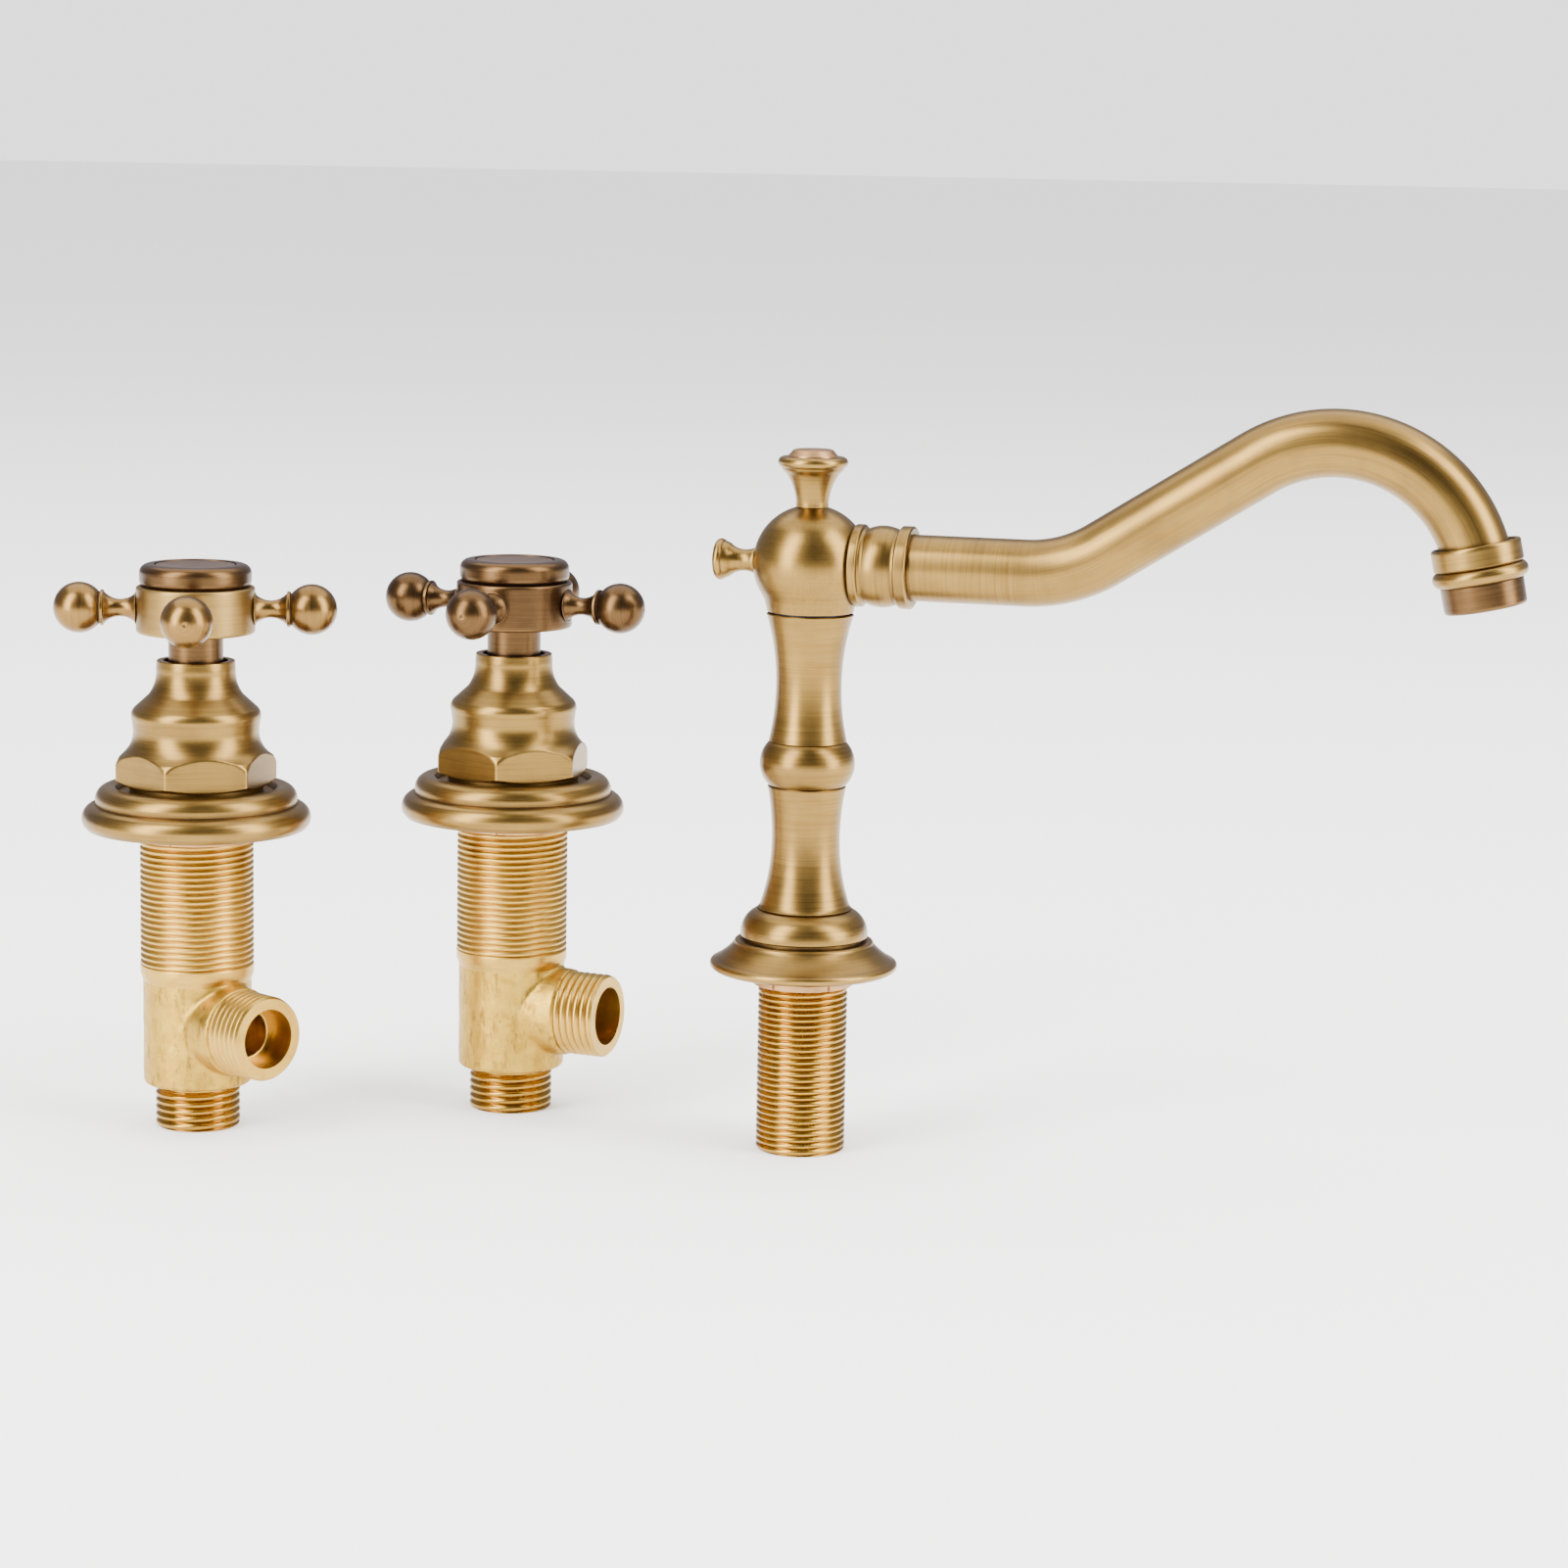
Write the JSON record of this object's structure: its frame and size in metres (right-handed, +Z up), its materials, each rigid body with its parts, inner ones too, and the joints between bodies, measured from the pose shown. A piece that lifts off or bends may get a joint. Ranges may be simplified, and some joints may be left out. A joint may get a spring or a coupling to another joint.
{
  "type": "widespread basin mixer faucet",
  "caption": "Deck-mounted widespread basin mixer: cross-handle valves with bell covers and threaded shanks beside a turned column with a swivelling curved spout, in antique brass.",
  "frame": {"origin": "centre of the spout shank's lower end, on the surface that the shanks stand on", "axes": "+Z up along the spout column, +X to the right as seen from the front, with the valves at -X, -Y towards the user's side"},
  "size_m": [0.3525, 0.1119, 0.1864],
  "materials": {
    "antique_brass": "brushed antique brass",
    "dark_brass": "darker brushed antique brass",
    "raw_brass": "bare cast and cut brass",
    "shank_brass": "bare cut brass, a little redder",
    "rubber": "matt",
    "plastic": "matt",
    "dark_plastic": "matt black",
    "ceramic": "lapped",
    "steel": "stainless"
  },
  "bodies": {
    "root": {"hot_valve_body": "raw_brass", "hot_flange_nut": "raw_brass", "hot_flange": "antique_brass", "hot_bell_cover": "antique_brass", "hot_cartridge_body": "raw_brass", "hot_bonnet_gasket": "rubber", "hot_seat_seal": "rubber", "hot_fixed_disc": "ceramic", "cold_valve_body": "raw_brass", "cold_flange_nut": "raw_brass", "cold_flange": "antique_brass", "cold_bell_cover": "antique_brass", "cold_cartridge_body": "raw_brass", "cold_bonnet_gasket": "rubber", "cold_seat_seal": "rubber", "cold_fixed_disc": "ceramic", "spout_shank": "shank_brass", "spout_flange_nut": "shank_brass", "spout_flange": "antique_brass", "base_bead": "antique_brass", "column": "antique_brass", "swivel_bush": "dark_plastic"},
    "hot_handle": {"hot_moving_disc": "ceramic", "hot_spindle": "raw_brass", "hot_spindle_seals": "rubber", "hot_spindle_clip": "steel", "hot_handle_hub": "antique_brass", "hot_handle_skirt": "dark_brass", "hot_handle_arms": "antique_brass", "hot_handle_screw": "steel", "hot_cap_ring": "dark_brass", "hot_index_disc": "dark_brass"},
    "cold_handle": {"cold_moving_disc": "ceramic", "cold_spindle": "raw_brass", "cold_spindle_seals": "rubber", "cold_spindle_clip": "steel", "cold_handle_hub": "antique_brass", "cold_handle_skirt": "dark_brass", "cold_handle_arms": "antique_brass", "cold_handle_screw": "steel", "cold_cap_ring": "dark_brass", "cold_index_disc": "dark_brass"},
    "spout": {"swivel_stem": "raw_brass", "swivel_seals": "rubber", "swivel_clip": "steel", "ball_body": "antique_brass", "top_finial": "antique_brass", "finial_cap": "dark_brass", "rear_finial": "antique_brass", "arm_nut": "antique_brass", "arm_gasket": "rubber", "tube_ferrule": "raw_brass", "arm_tube": "antique_brass", "tube_end_ring": "dark_brass", "aerator_collar": "antique_brass", "aerator_barrel": "dark_brass", "aerator_gasket": "rubber", "aerator_insert": "plastic", "aerator_screen": "steel"}
  },
  "joints": [
    {"name": "hot_handle_turn", "type": "hinge", "parent": "root", "child": "hot_handle", "pos_m": [-0.151, 0.005, 0.1295], "axis": [0, 0, 1], "range_deg": [0, 90]},
    {"name": "cold_handle_turn", "type": "hinge", "parent": "root", "child": "cold_handle", "pos_m": [-0.076, 0.034, 0.1295], "axis": [0, 0, 1], "range_deg": [-90, 0]},
    {"name": "spout_swivel", "type": "hinge", "parent": "root", "child": "spout", "pos_m": [0, 0, 0.1327], "axis": [0, 0, 1], "range_deg": [-90, 90]}
  ]
}
